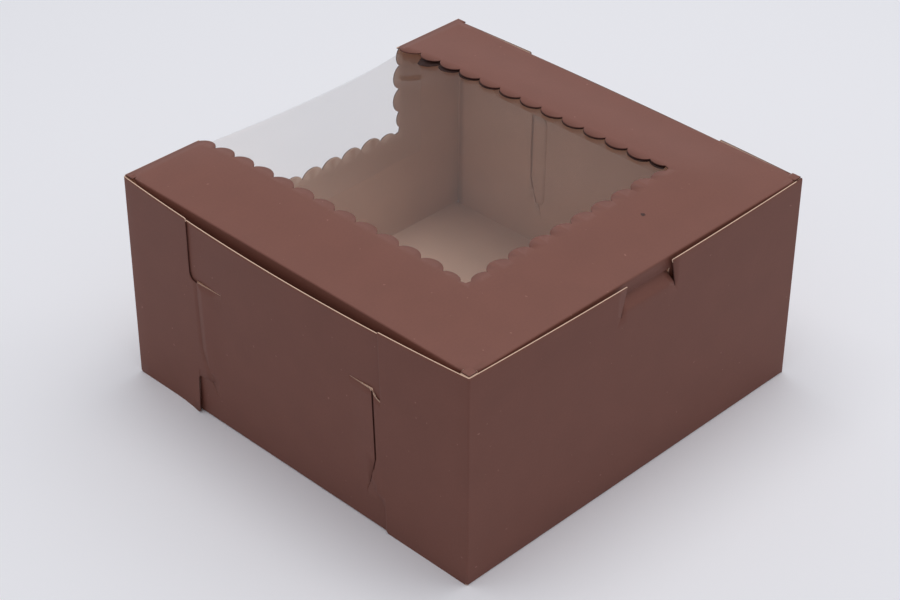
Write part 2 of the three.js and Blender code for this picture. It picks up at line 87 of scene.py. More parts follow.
def arc(centre, radius, start, end, steps=8):
    """Points on a circle about centre, from one angle to another in degrees."""
    a = np.radians(np.linspace(start, end, steps + 1))
    return np.column_stack([centre[0] + radius * np.cos(a), centre[1] + radius * np.sin(a)])


def inside(points, loop):
    """True for each point that lies inside the closed loop: it counts the edges to the point's right."""
    x, y = points[:, 0:1], points[:, 1:2]
    x0, y0 = loop[:, 0], loop[:, 1]
    x1, y1 = np.roll(x0, -1), np.roll(y0, -1)
    crosses = (y0 > y) != (y1 > y)
    with np.errstate(divide="ignore", invalid="ignore"):
        at = x0 + (y - y0) * (x1 - x0) / (y1 - y0)
    return (crosses & (x < at)).sum(1) % 2 == 1


def flat_net(outline, holes, lines_u, lines_v):
    """Triangles inside outline and outside holes, with edges along the lines u = c and v = c."""
    loops = [np.asarray(loop, float) for loop in (outline, *holes)]
    points, edges = [], []
    for loop in loops:
        n = len(points)
        points += [tuple(p) for p in loop]
        edges += [(n + k, n + (k + 1) % len(loop)) for k in range(len(loop))]
    low, high = loops[0].min(0) - 1, loops[0].max(0) + 1
    for axis, lines in enumerate((lines_u, lines_v)):
        for c in sorted(set(round(float(x), 6) for x in lines)):
            ends = [[c, c], [low[1 - axis], high[1 - axis]]]
            for k in range(2):
                points.append((ends[0][k], ends[1][k]) if axis == 0 else (ends[1][k], ends[0][k]))
            edges.append((len(points) - 2, len(points) - 1))
    verts, _, faces, *_ = delaunay_2d_cdt(points, edges, [], 0, 1e-4)
    verts = np.array([tuple(v) for v in verts])
    faces = np.array([f for f in faces if len(f) == 3])
    a, b, c = (verts[faces[:, k]] for k in range(3))
    turn = (b[:, 0] - a[:, 0]) * (c[:, 1] - a[:, 1]) - (c[:, 0] - a[:, 0]) * (b[:, 1] - a[:, 1])
    faces = np.where((turn < 0)[:, None], faces[:, [0, 2, 1]], faces)
    centre = (a + b + c) / 3
    keep = inside(centre, loops[0]) & (np.abs(turn) > 1e-6)
    for hole in loops[1:]:
        keep &= ~inside(centre, hole)
    faces = faces[keep]
    used, index = np.unique(faces, return_inverse=True)
    return verts[used], index.reshape(faces.shape)


def ramp(value, start, end):
    """0 before start, 1 after end and straight between them."""
    return np.clip((value - start) / (end - start), 0, 1)


def smooth(value, start, end):
    """As ramp, but easing in and out."""
    t = ramp(value, start, end)
    return t * t * (3 - 2 * t)


def fold_up(distance, start):
    """Distance along the first plane and rise above it, for a sheet folded up at start. In the fold they
    grow by the radius BEND times the sine of the turn, and times 1 minus its cosine."""
    turn = np.clip((distance - start) / BEND, 0, math.pi / 2)
    along = np.minimum(distance, start) + BEND * np.sin(turn)
    rise = BEND * (1 - np.cos(turn)) + np.maximum(0, distance - start - ARC)
    return along, rise


def fold_lines(start, count=4):
    """Sheet distances of the lines across one fold."""
    return [start + ARC * k / count for k in range(count + 1)]


def grid_faces(rows, columns):
    """Four-sided faces of a grid of points that are listed row after row."""
    i, j = np.meshgrid(np.arange(rows - 1), np.arange(columns - 1), indexing="ij")
    first = (i * columns + j).ravel()
    return np.column_stack([first, first + 1, first + columns + 1, first + columns])


def put_mesh(name, points, faces, uv, materials):
    """Makes an object of a mesh given in millimetres, with a smooth surface and its flat sheet as UV."""
    mesh = bpy.data.meshes.new(name)
    faces = np.asarray(faces)
    mesh.vertices.add(len(points))
    mesh.vertices.foreach_set("co", (np.asarray(points) * MM).astype(np.float32).ravel())
    mesh.loops.add(faces.size)
    mesh.loops.foreach_set("vertex_index", faces.astype(np.int32).ravel())
    mesh.polygons.add(len(faces))
    mesh.polygons.foreach_set("loop_start", np.arange(0, faces.size, faces.shape[1], dtype=np.int32))
    mesh.update(calc_edges=True)
    layer = mesh.uv_layers.new(name="flat")
    layer.data.foreach_set("uv", (np.asarray(uv)[faces.ravel()] * MM).astype(np.float32).ravel())
    mesh.polygons.foreach_set("use_smooth", np.ones(len(faces), dtype=bool))
    for material in materials:
        mesh.materials.append(material)
    obj = bpy.data.objects.new(name, mesh)
    bpy.context.scene.collection.objects.link(obj)
    print(name, len(points), "points", len(faces), "faces")
    return obj


def thicken(obj, thickness, offset=0.0):
    """Board thickness: the print outside is slot 0, the bare inside slot 1 and the raw edge slot 2."""
    mod = obj.modifiers.new("board", "SOLIDIFY")
    mod.thickness = thickness * MM
    mod.offset = offset
    mod.material_offset = 1
    mod.material_offset_rim = 2
    mod.use_quality_normals = True


def paint_edge_shade(obj, faces):
    """Gives some faces the second set of slots, whose cut edges have a dark colour: painted shade of the
    narrow gaps they sit in.
    """
    obj.data.polygons.foreach_set("material_index", np.where(faces, 3, 0).astype(np.int32))


# %% [markdown]
# ## Finishes
#
# The board is printed reddish brown outside and bare grey-brown inside, and its cut edges show pale
# pulp. All three are procedural, from the sheet's own flat coordinates, so the fibre pattern runs on
# across the folds. Each is slightly cloudy, with short fibres and tiny flecks, and one place on the lid
# has a dark speck.


# %% Board materials
def srgb(r, g, b):
    """Scene-linear colour of an sRGB colour given in 0 to 255."""
    return tuple(((c / 255 + 0.055) / 1.055) ** 2.4 if c > 10 else c / 255 / 12.92 for c in (r, g, b)) + (1,)


SPECK = (0.0273, 0.3234, 0)
SPECK_RADIUS = 0.0012
MIX_A, MIX_B, MIX_RESULT = 6, 7, 2


def add_node(nt, kind, values=None, links=None, **settings):
    """Adds a shader node. Plain values and links are given by input, settings by the node's own names."""
    node = nt.nodes.new("ShaderNode" + kind)
    for name, value in settings.items():
        setattr(node, name, value)
    for key, value in (values or {}).items():
        node.inputs[key].default_value = value
    for key, socket in (links or {}).items():
        nt.links.new(socket, node.inputs[key])
    return node


def board_material(name, colour, cloud, fleck, roughness, bump):
    """Principled board. The colour is scaled by 1 - cloud to 1 + cloud, as the sum of two noises goes, then
    gets flecks where a third noise is high, and a dark speck within SPECK_RADIUS of SPECK."""
    mat = bpy.data.materials.new(name)
    mat.use_nodes = True
    nt = mat.node_tree
    flat = add_node(nt, "UVMap", uv_map="flat").outputs["UV"]
    fibre = add_node(nt, "TexNoise", {"Scale": 900, "Detail": 3}, {"Vector": flat}).outputs["Fac"]
    blotch = add_node(nt, "TexNoise", {"Scale": 60, "Detail": 2}, {"Vector": flat}).outputs["Fac"]
    both = add_node(nt, "Math", links={0: fibre, 1: blotch}, operation="ADD").outputs[0]
    spread = add_node(
        nt, "MapRange", {"From Min": 0.6, "From Max": 1.4, "To Min": 1 - cloud, "To Max": 1 + cloud},
        {"Value": both},
    ).outputs["Result"]
    tint = add_node(nt, "VectorMath", {0: colour[:3]}, {"Scale": spread}, operation="SCALE").outputs[0]
    grain = add_node(nt, "TexNoise", {"Scale": 420, "Detail": 1}, {"Vector": flat}).outputs["Fac"]
    few = add_node(nt, "MapRange", {"From Min": 0.76, "From Max": 0.8}, {"Value": grain}).outputs["Result"]
    flecked = add_node(nt, "Mix", {MIX_B: fleck}, {0: few, MIX_A: tint}, data_type="RGBA")
    off = add_node(nt, "VectorMath", {1: SPECK}, {0: flat}, operation="DISTANCE").outputs["Value"]
    ragged = add_node(nt, "Math", {1: SPECK_RADIUS}, {0: fibre, 2: off}, operation="MULTIPLY_ADD")
    near = add_node(
        nt, "MapRange", {"From Min": SPECK_RADIUS * 1.5, "From Max": SPECK_RADIUS * 1.2},
        {"Value": ragged.outputs[0]},
    ).outputs["Result"]
    spotted = add_node(
        nt, "Mix", {MIX_B: srgb(48, 22, 16)}, {0: near, MIX_A: flecked.outputs[MIX_RESULT]},
        data_type="RGBA",
    )
    relief = add_node(nt, "Bump", {"Strength": bump, "Distance": 0.0001}, {"Height": fibre})
    shader = nt.nodes["Principled BSDF"]
    shader.inputs["Roughness"].default_value = roughness
    shader.inputs["Specular IOR Level"].default_value = 0.28
    nt.links.new(spotted.outputs[MIX_RESULT], shader.inputs["Base Color"])
    nt.links.new(relief.outputs["Normal"], shader.inputs["Normal"])
    return mat


outside = board_material("board_print", srgb(114, 71, 60), 0.06, srgb(140, 98, 88), 0.62, 0.25)
bare = board_material("board_inside", srgb(216, 185, 166), 0.05, srgb(215, 192, 174), 0.8, 0.2)
edge = board_material("board_edge", srgb(222, 190, 168), 0.08, srgb(232, 205, 186), 0.85, 0.2)
# The dark edge colour is painted shade: it stands for cut edges that sit in narrow shadowed gaps.
shaded_edge = board_material("board_edge_painted_shade", srgb(84, 50, 43), 0.08, srgb(110, 74, 66), 0.8, 0.2)
BOARD_MATERIALS = [outside, bare, edge, outside, bare, shaded_edge]
print("materials:", [m.name for m in BOARD_MATERIALS])

# %% [markdown]
# ## Window rim
#
# The scallops bulge into the window and meet in sharp cusps. They are counted from the hinge fold: a
# stop's distance is plus on the lid and minus down the hinge wall, so the row runs on across the fold.

# %% Scallop rows
WINDOW_HALF, WINDOW_FRONT, WINDOW_FOOT = 62.0, -62.0, 55.6
LOBE_PITCH, LOBE_DEPTH, RIM_CORNER = 12.6, 4.0, 3.2
RIM_ZONE = WINDOW_HALF + 10
PHASE_LEFT, PHASE_RIGHT = 0.2, 2.2
HINGE_WALL_TOP = HEIGHT - BOARD - LID_GAP


def side_stops(start, end, phase):
    """Cusp distances from start to end, with whole lobes between them."""
    first = math.ceil((start - phase) / LOBE_PITCH + 0.35)
    stops = [start]
    while phase + first * LOBE_PITCH < end - LOBE_PITCH * 0.35:
        stops.append(phase + first * LOBE_PITCH)
        first += 1
    return np.array(stops + [end])


def scallops(path, side=-1, steps=14):
    """Lobes over each stretch of path. A lobe's height is depth times the root of 1 - s squared, to the
    power 1.3, where s runs from -1 to 1 along the stretch."""
    rows = []
    for a, b in zip(path[:-1], path[1:]):
        chord = float(np.hypot(*(b - a)))
        depth = LOBE_DEPTH * min(1.0, (chord / LOBE_PITCH) ** 2)
        t = (1 - np.cos(np.linspace(0, math.pi, steps + 1))) / 2
        swell = depth * np.sqrt(np.clip(1 - (2 * t - 1) ** 2, 0, 1)) ** 1.3
        normal = np.array([-(b - a)[1], (b - a)[0]]) / chord * side
        row = a + (b - a) * t[:, None] + normal * swell[:, None]
        rows.append(row if not rows else row[1:])
    return np.vstack(rows)


ROW_END = WINDOW_HALF - RIM_CORNER
ROW = np.concatenate([[ROW_END], np.linspace(49.6, -49.6, 9), [-ROW_END]])
print("cusps across the window:", ROW)

# %% [markdown]
# ## Tray: flat pattern
#
# The bottom, four walls and four corner flaps are one sheet. The end panels stand inside the corner
# flaps. A tongue on each flap passes through a slot in the end panel and lies behind its lip.

# %% Tray outline
WALL_TOP, END_TOP, FLAP_FOOT, FLAP_ROOT = HEIGHT - 0.4, HEIGHT - 1.9, 0.1, 0.75
FLAP_END, TONGUE_END, TONGUE_TOP, TONGUE_ROOT, TONGUE_BOTTOM = 56.4, 44.0, 70.6, 14.0, 22.5
LIP_END, LIP_ROOT, LIP_TOP, SLOT_TOP = 51.6, 39.0, 72.2, 72.4
LIP_SLANT_TOP, LIP_SLANT_FOOT = 36.0, 47.6
SHOULDER = [[56.4, 68.0], [55.6, 68.3], [54.6, 68.8], [53.4, 69.6], [52.2, 70.6]]
HEEL = [[FLAP_END - 7.5, TONGUE_BOTTOM], [FLAP_END, TONGUE_ROOT]]
BACK_SHIFT, BACK_BOTTOM = 3.0, 21.0
BACK_SHOULDER = [[58.9, 75.0], [58.6, 73.8], [57.9, 72.6], [57.0, 71.9], [56.0, 71.6], [55.2, 71.0]]
BACK_HEEL = [[56.2, 21.0], [57.8, 20.7], [58.9, 19.9], [59.4, 18.6]]
SLIT_TOP_X, SLIT_FOOT_X, SLIT_FOOT, SLIT_WIDTH = 13.4, 16.6, 88.5, 0.7
TAB_TOP, TAB_BEND_TOP, TAB_PUSH = HEIGHT - 1.6, 95.0, 1.75


def wall_at(z):
    """Sheet distance of a height in the front or hinge wall."""
    return WALL_FOLD + ARC - MID - BEND + z


def end_at(z):
    """Sheet distance of a height in an end panel."""
    return END_FOLD + ARC - MID - BEND + z


def flap_at(y):
    """Sheet distance of a place along a corner flap, given as its distance from the wall's middle."""
    return FLAP_FOLD + ARC - BEND + WALL_MID - y


def corner_outline(shift=0.0, shoulder=SHOULDER, bottom=TONGUE_BOTTOM, heel=HEEL):
    """One corner of the tray's blank, from the wall's top edge to the end panel's top edge. The tongue is
    shift further from the middle, and shoulder and heel are its upper and lower roots."""
    end, tip = FLAP_END + shift, TONGUE_END + shift
    flap = np.vstack([
        arc([end - shift / 2 + 0.6, WALL_TOP - 0.6], 0.6, 90, 180, 3),
        shoulder,
        arc([tip + 4, TONGUE_TOP - 4], 4, 90, 180),
        arc([tip + 4, bottom + 4], 4, 180, 270),
        heel,
        [[end, FLAP_FOOT + 1], [end + 1, FLAP_FOOT]],
    ])
    flap = np.column_stack([flap_at(flap[:, 0]), wall_at(flap[:, 1])])
    root = FLAP_FOLD + ARC + 0.3
    relief = [
        [root, wall_at(FLAP_FOOT)],
        [root, wall_at(FLAP_ROOT)],
        [FLAP_FOLD + 0.15, wall_at(FLAP_ROOT)],
        [FLAP_FOLD + 0.15, END_HALF + 0.2],
        [END_FOLD - 0.2, END_HALF + 0.2],
        [END_FOLD - 0.2, END_HALF],
        [end_at(4), END_HALF],
        [end_at(END_TOP - 2), END_HALF - 1],
        [end_at(END_TOP), END_HALF - 3],
    ]
    return np.vstack([flap, relief])


def slot_outline(shift=0.0, bottom=TONGUE_BOTTOM):
    """The slot beside an end panel's lip: only as wide as the tongue needs to dip through it."""
    lip, low = LIP_END + shift, LIP_SLANT_FOOT + shift
    slot = np.array([
        [LIP_ROOT, LIP_TOP], [lip - 0.8, LIP_TOP], [lip, LIP_TOP - 0.8], [lip, LIP_SLANT_TOP],
        [low, bottom - 0.1], [low - 2, bottom - 5.3], [low - 1.9, bottom - 5.4],
        [low + 0.15, bottom - 0.15], [low + 1.8, bottom - 0.15], [lip + 1.8, LIP_SLANT_TOP],
        [lip + 1.8, TONGUE_TOP - 1.3], [lip + 0.6, TONGUE_TOP], [lip + 0.2, SLOT_TOP], [LIP_ROOT, SLOT_TOP],
    ])
    return np.column_stack([end_at(slot[:, 1]), slot[:, 0]])


def mirrored(path, su, sv):
    """path in another quarter of the blank, still running the same way round it."""
    result = np.asarray(path) * [su, sv]
    return result if su * sv < 0 else result[::-1]


slit = np.array([
    [SLIT_TOP_X + SLIT_WIDTH / 2, WALL_TOP], [SLIT_FOOT_X + 0.2, SLIT_FOOT],
    [SLIT_FOOT_X - 0.2, SLIT_FOOT], [SLIT_TOP_X - SLIT_WIDTH / 2, TAB_TOP],
])
slit = np.column_stack([slit[:, 0], -wall_at(slit[:, 1])])
low, high = WINDOW_FOOT + RIM_CORNER - HEIGHT, HINGE_WALL_TOP - HEIGHT
down = side_stops(low, high, PHASE_RIGHT)[::-1]
climb = side_stops(low, high, PHASE_LEFT)
rim = np.vstack([
    scallops(np.column_stack([np.full(len(down), WINDOW_HALF), wall_at(HEIGHT + down)])),
    [[WINDOW_HALF - 0.6, wall_at(WINDOW_FOOT + 0.6)]],
    scallops(np.column_stack([ROW, np.full(len(ROW), wall_at(WINDOW_FOOT))])),
    [[0.6 - WINDOW_HALF, wall_at(WINDOW_FOOT + 0.6)]],
    scallops(np.column_stack([np.full(len(climb), -WINDOW_HALF), wall_at(HEIGHT + climb)])),
])
corner = corner_outline()
back_corner = corner_outline(BACK_SHIFT, BACK_SHOULDER, BACK_BOTTOM, BACK_HEEL)
tray_outline = np.vstack([
    slit * [-1, 1], slit[::-1], mirrored(corner, 1, -1), mirrored(corner, 1, 1), rim,
    mirrored(back_corner, -1, 1), mirrored(corner, -1, -1),
])
print("tray outline points:", len(tray_outline))

# %% [markdown]
# ## Tray: folding
#
# A point of a corner flap is folded round the flap's own fold, one of an end panel round the end
# panel's fold, and every other one round the fold of the front or hinge wall. Then the walls bow, the
# tongues dip behind the lips, the lock tab is pressed in, one loose foot curls outward, and the right-hand
# flaps come down a little at the top. Cut edges of the left locks, the tab's slits and the top of the right
# end get a dark colour that is painted shade of the narrow gaps there; the window rim's cut edges get it too.

# %% Fold the tray
LEFT_BOW, RIGHT_BOW, WALL_BOW = 5.0, 1.9, 1.75
DIP, BACK_DIP, TIP_DIP = 0.95, 0.5, 0.55
LIP_LIFT, LIP_LIFT_FOOT = 0.8, 17
FOOT_CURL, CURL_START, CURL_TOP = 1.5, 75, 22
RIGHT_DROP, DROP_START = 1.0, 80


def place_tray(uv):
    """Middle surface of the tray: the fold of the panel that the flat point is in, plus the panel's bow.
    A bow is its height times 1 - (distance from the middle / half width) squared, growing with z."""
    u, v = uv[:, 0], uv[:, 1]
    a, b, su, sv = np.abs(u), np.abs(v), np.sign(u), np.sign(v)
    along, rise = fold_up(b, WALL_FOLD)
    x, y, z = u.copy(), along * sv, MID + rise
    bow = np.clip(1 - (2 * a / WIDTH) ** 2, 0, 1) * WALL_BOW
    front = bow * ramp(z, 0, HEIGHT)
    hinge = bow * np.sin(np.pi * ramp(z, 0, HEIGHT))
    out = np.where(b > WALL_FOLD, np.where(sv < 0, front, hinge), 0)
    slit_x = SLIT_TOP_X + (SLIT_FOOT_X - SLIT_TOP_X) * ramp(z, WALL_TOP, SLIT_FOOT)
    tab = (sv < 0) & (z > SLIT_FOOT) & (a < slit_x)
    out -= np.where(tab, (TAB_PUSH + WALL_BOW) * smooth(z, SLIT_FOOT + 1, TAB_BEND_TOP + 1.4), 0)
    y += out * sv

    flap = (b > WALL_FOLD) & (a > FLAP_FOLD)
    f_along, f_rise = fold_up(a, FLAP_FOLD)
    fy = WALL_MID - f_rise
    fz = MID + BEND + b - WALL_FOLD - ARC
    end_bow = np.where(su < 0, LEFT_BOW, RIGHT_BOW)
    f_out = end_bow * np.clip(1 - (2 * fy / DEPTH) ** 2, 0, 1) * ramp(fz, 0, HEIGHT)
    back_left = (su < 0) & (sv > 0)
    shift = np.where(back_left, BACK_SHIFT, 0)
    lip_edge = LIP_END + shift - (LIP_END - LIP_SLANT_FOOT) * ramp(fz, LIP_SLANT_TOP, TONGUE_BOTTOM)
    dip = np.select([back_left, su < 0], [BACK_DIP, DIP], LAYER_GAP + BOARD)
    dip = dip * smooth(fy, lip_edge + np.where(back_left, 2.5, 1.3), lip_edge - 0.1)
    f_out = f_out - dip - np.where(su < 0, TIP_DIP, 0) * ramp(fy, lip_edge, TONGUE_END + shift)
    curl = ramp(fy, CURL_START, FLAP_END + shift) ** 1.6 * ramp(fz, CURL_TOP, FLAP_FOOT) ** 0.8
    f_out = f_out + np.where(back_left, FOOT_CURL * curl, 0)
    f_drop = np.where(su > 0, RIGHT_DROP, 0) * ramp(fz, DROP_START, WALL_TOP)
    x = np.where(flap, (f_along + f_out) * su, x)
    y = np.where(flap, fy * sv, y)
    z = np.where(flap, fz - f_drop, z)

    end = (b <= END_HALF + 0.2) & (a > END_FOLD)
    e_along, e_rise = fold_up(a, END_FOLD)
    ez = MID + e_rise
    e_out = end_bow * np.clip(1 - (2 * b / DEPTH) ** 2, 0, 1) * ramp(ez, 0, HEIGHT)
    lip = (b <= LIP_END + shift + 1e-4) & (b >= LIP_ROOT) & (ez <= LIP_TOP + 0.1)
    lift = LIP_LIFT * smooth(b, LIP_ROOT, LIP_END + shift) * ramp(ez, LIP_LIFT_FOOT, LIP_SLANT_TOP)
    e_out = e_out + np.where(lip, lift, 0)
    x = np.where(end, (e_along + e_out) * su, x)
    y = np.where(end, v, y)
    z = np.where(end, ez, z)
    return np.column_stack([x, y, z])


lock_lines = np.arange(46.5, 60.5, 0.7)
both_u = [*fold_lines(END_FOLD), *fold_lines(FLAP_FOLD), *np.arange(6, 99, GRID), *np.arange(108, 202, 6.0),
          *flap_at(lock_lines), end_at(END_TOP - 1.5)]
both_v = [*fold_lines(WALL_FOLD), *np.arange(6, 99, GRID), *np.arange(108, 202, GRID), LIP_ROOT, LIP_END,
          LIP_END + BACK_SHIFT, 46, wall_at(SLIT_FOOT), *wall_at(np.arange(90, TAB_BEND_TOP + 2, 0.9)),
          wall_at(WALL_TOP - 1.5)]
slots = [slot_outline(), slot_outline(BACK_SHIFT, BACK_BOTTOM)]
tray_uv, tray_faces = flat_net(
    tray_outline,
    [mirrored(slots[int(su < 0 < sv)], su, sv) for su in (1, -1) for sv in (1, -1)],
    [0, *both_u, *(-x for x in both_u)],
    [0, *both_v, *(-x for x in both_v)],
)
tray = put_mesh("tray_sheet", place_tray(tray_uv), tray_faces[:, ::-1], tray_uv, BOARD_MATERIALS)
middles = tray_uv[tray_faces].mean(1)
cx, cy, cz = place_tray(middles).T
on_flap = (np.abs(middles) > [FLAP_FOLD, WALL_FOLD]).all(1)
pale_shoulder = (cy < 0) & (cz >= 66) & (cz <= 73)
flap_edge = on_flap & (np.abs(cy) < FLAP_END + 7) & (cz < WALL_TOP - 1.5) & ~pale_shoulder
slot_edge = ~on_flap & (np.abs(cx) > END_MID - 3) & (np.abs(np.abs(cy) - 51) < 8) & (cz < 70)
at_rim = (cy > WALL_MID - 4) & (np.abs(cx) < RIM_ZONE)
at_tab = (cy < 4 - WALL_MID) & (np.abs(cx) < 22) & (cz > SLIT_FOOT - 5) & (cz < WALL_TOP - 1)
right_top = (cx > END_MID - 3) & (cz > WALL_TOP - 12)
# Cut edges of the left locks, the tab's slits and the top of the right end get the dark edge colour as
# painted shade; those of the window rim get it too.
paint_edge_shade(tray, ((flap_edge | slot_edge) & (cx < 0)) | at_rim | at_tab | right_top)
thicken(tray, BOARD)
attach(tray, "tray")
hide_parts("carton_tray")

# %% [markdown]
# ## Lid
#
# The lid is a second sheet: a panel with the other part of the window cut from its rear edge, two side
# flaps and a tuck flap. It rises a little around the window, where the folds don't hold it straight. The
# side folds stop short of the corners, where a small flat tab stays. Its cut edges there and at the window
# rim get the same dark edge colour that is painted shade on the tray.

# %% Lid outline and folding
LID_HALF = WIDTH / 2 - 2 * BOARD - LAYER_GAP - LID_GAP
LID_FRONT, LID_REAR = DEPTH / 2 - BOARD - LID_GAP - 0.1, DEPTH / 2 - 0.4
LID_CORNER_X, LID_CORNER_Y = WIDTH / 2 - BOARD - LID_GAP, DEPTH / 2 - BOARD - LID_GAP
CROWN, CROWN_REAR = 3.9, 20
SIDE_FOLD = LID_HALF - MID - BEND
FRONT_FOLD = LID_FRONT - MID - BEND
LIP_DROP, NOTCH_DROP, NOTCH_HALF = 6.1, 15.0, 15.4
TUCK_HALF, TUCK_DEPTH, TUCK_LEAN = 96, 30, 0.27
SIDE_END, SIDE_DEPTH = 97, 31


def drop_at(drop):
    """Sheet distance of a depth in the tuck flap."""
    return FRONT_FOLD + ARC - BEND - MID + drop


side_tip = SIDE_FOLD + ARC - BEND - MID + SIDE_DEPTH
half = np.array([
    [83, -drop_at(TUCK_DEPTH)], [89, -drop_at(TUCK_DEPTH - 6)], [94, -drop_at(LIP_DROP)],
    [TUCK_HALF, -FRONT_FOLD - ARC],
    [TUCK_HALF, -FRONT_FOLD + 0.3], [TUCK_HALF + 0.4, -FRONT_FOLD + 0.3], [TUCK_HALF + 0.4, -LID_CORNER_Y],
    [LID_CORNER_X, -LID_CORNER_Y], [LID_CORNER_X, -SIDE_END - 0.4], [SIDE_FOLD - 0.3, -SIDE_END - 0.4],
    [SIDE_FOLD - 0.3, -SIDE_END], [SIDE_FOLD + ARC, -SIDE_END], [side_tip - 5, -80], [side_tip, -75],
    [side_tip, 75], [side_tip - 5, 80], [SIDE_FOLD + ARC, SIDE_END], [SIDE_FOLD - 0.3, SIDE_END],
    [SIDE_FOLD - 0.3, SIDE_END + 0.4], [LID_CORNER_X, SIDE_END + 0.4], [LID_CORNER_X, LID_REAR],
])
low, high = DEPTH / 2 - LID_REAR, DEPTH / 2 - WINDOW_FRONT - RIM_CORNER
ahead = side_stops(low, high, PHASE_RIGHT)
returning = side_stops(low, high, PHASE_LEFT)[::-1]
lid_rim = np.vstack([
    scallops(np.column_stack([np.full(len(ahead), WINDOW_HALF), DEPTH / 2 - ahead])),
    [[WINDOW_HALF - 0.6, WINDOW_FRONT + 0.6]],
    scallops(np.column_stack([ROW, np.full(len(ROW), WINDOW_FRONT)])),
    [[0.6 - WINDOW_HALF, WINDOW_FRONT + 0.6]],
    scallops(np.column_stack([np.full(len(returning), -WINDOW_HALF), DEPTH / 2 - returning])),
])
lid_outline = np.vstack([half, lid_rim, (half * [-1, 1])[::-1]])
notch = np.array([
    [-SLIT_TOP_X + 0.2, -drop_at(LIP_DROP)], [-NOTCH_HALF, -drop_at(LIP_DROP)],
    [-NOTCH_HALF, -drop_at(NOTCH_DROP)], [NOTCH_HALF, -drop_at(NOTCH_DROP)],
    [NOTCH_HALF, -drop_at(LIP_DROP)], [SLIT_TOP_X - 0.2, -drop_at(LIP_DROP)],
])


def crown(x, y):
    """Rise of the lid: full around the window, none at the folded edges and at the hinge, where it grows
    over about CROWN_REAR."""
    across = 1 - smooth(np.abs(x), WINDOW_HALF, SIDE_FOLD)
    rear = 1 - np.exp(-np.clip(LID_REAR - y, 0, None) / CROWN_REAR)
    front = 1 - smooth(-y, -WINDOW_FRONT, FRONT_FOLD)
    return CROWN * across * rear * front


def place_lid(uv):
    """Middle surface of the lid: side flaps and tuck flap folded down, the panel raised by its crown."""
    u, v = uv[:, 0], uv[:, 1]
    a, b, su = np.abs(u), -v, np.sign(u)
    top = HEIGHT - MID
    x, y, z = u.copy(), v.copy(), top + crown(u, v)
    s_along, s_rise = fold_up(a, SIDE_FOLD)
    t_along, t_rise = fold_up(b, FRONT_FOLD)
    lean = np.clip(MID + t_rise - LIP_DROP, 0, None) * TUCK_LEAN
    tuck = (b > FRONT_FOLD) & (a < TUCK_HALF + 0.2)
    side = (a > SIDE_FOLD) & (np.abs(v) < SIDE_END + 0.2)
    x = np.where(side, s_along * su, x)
    y = np.where(tuck, -t_along + lean, y)
    z = np.where(tuck, top - t_rise, np.where(side, top - s_rise, z))
    return np.column_stack([x, y, z])


both_u = [*fold_lines(SIDE_FOLD), *np.arange(5, 98, GRID)]
lid_v = [*(-v for v in fold_lines(FRONT_FOLD)), *np.arange(-98, 101, GRID),
         -drop_at(LIP_DROP), -drop_at(20)]
lid_uv, lid_faces = flat_net(lid_outline, [notch], [0, *both_u, *(-x for x in both_u)], lid_v)
lid = put_mesh("lid_sheet", place_lid(lid_uv), lid_faces, lid_uv + [0, 400], BOARD_MATERIALS)
cu, cv = lid_uv[lid_faces].mean(1).T
at_corner = (np.abs(cu) > 95.5) & (np.abs(cu) < LID_CORNER_X) & (np.abs(cv) > SIDE_END)
# The lid's corner tabs and window rim get the same dark edge colour, the painted shade of the tray's edges.
paint_edge_shade(lid, ((np.abs(cu) < RIM_ZONE) & (cv > WINDOW_FRONT - 9)) | at_corner)
thicken(lid, BOARD)
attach(lid, "lid")
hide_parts("carton_lid")

# %% [markdown]
# ## Painted shade under the right-hand lobes
#
# Along the right edge of the window a dark band shows below each lobe: the shade in the gap between the
# lobes and the sagging film. It is widest near the hinge and at the front corner. It is painted as a thin
# dark strip under the board that repeats the lobes a little further in and hangs lower where it is wide.

# %% Painted shade strip
shade_strip_row = scallops(np.column_stack([np.full(len(ahead) - 1, WINDOW_HALF), DEPTH / 2 - ahead[1:]]))
from_hinge, from_front = DEPTH / 2 - shade_strip_row[:, 1], shade_strip_row[:, 1] - WINDOW_FRONT
widest = np.exp(-(from_hinge - ahead[1]) / 16) + 0.35 * np.exp(-from_front / 12)
SHADE_STRIP_UNDER, SHADE_STRIP_SHOWS, SHADE_STRIP_WIDER, SHADE_STRIP_DROP = 2.5, 0.3, 2.0, 3.4
inward = SHADE_STRIP_SHOWS + SHADE_STRIP_WIDER * widest
shade_strip_t = np.linspace(0, 1, 5)
shade_strip_x = (shade_strip_row[:, 0, None] + SHADE_STRIP_UNDER - shade_strip_t * (SHADE_STRIP_UNDER + inward[:, None])).ravel()
shade_strip_y = np.repeat(shade_strip_row[:, 1], len(shade_strip_t))
shade_strip_z = HEIGHT - BOARD - 0.15 + crown(shade_strip_x, shade_strip_y) - SHADE_STRIP_DROP * np.outer(widest, shade_strip_t).ravel()
# Near-black brown strip colour: painted shade of the gap under the lobes, not a colour of the board.
shade_strip_material = board_material("painted_shade_under_lobes", srgb(40, 16, 10), 0.1, srgb(52, 24, 16), 0.7, 0.1)
shade_strip = put_mesh("rim_shade_strip", np.column_stack([shade_strip_x, shade_strip_y, shade_strip_z]), grid_faces(len(shade_strip_row), len(shade_strip_t)),
                np.column_stack([shade_strip_x, shade_strip_y + 800]), [shade_strip_material])
thicken(shade_strip, 0.12, -1)
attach(shade_strip, "lid")

# %% [markdown]
# ## Hinge crease
#
# On each side of the window the lid and the hinge wall are one sheet. A narrow strip of board turns
# from the wall's top edge to the lid's rear edge.

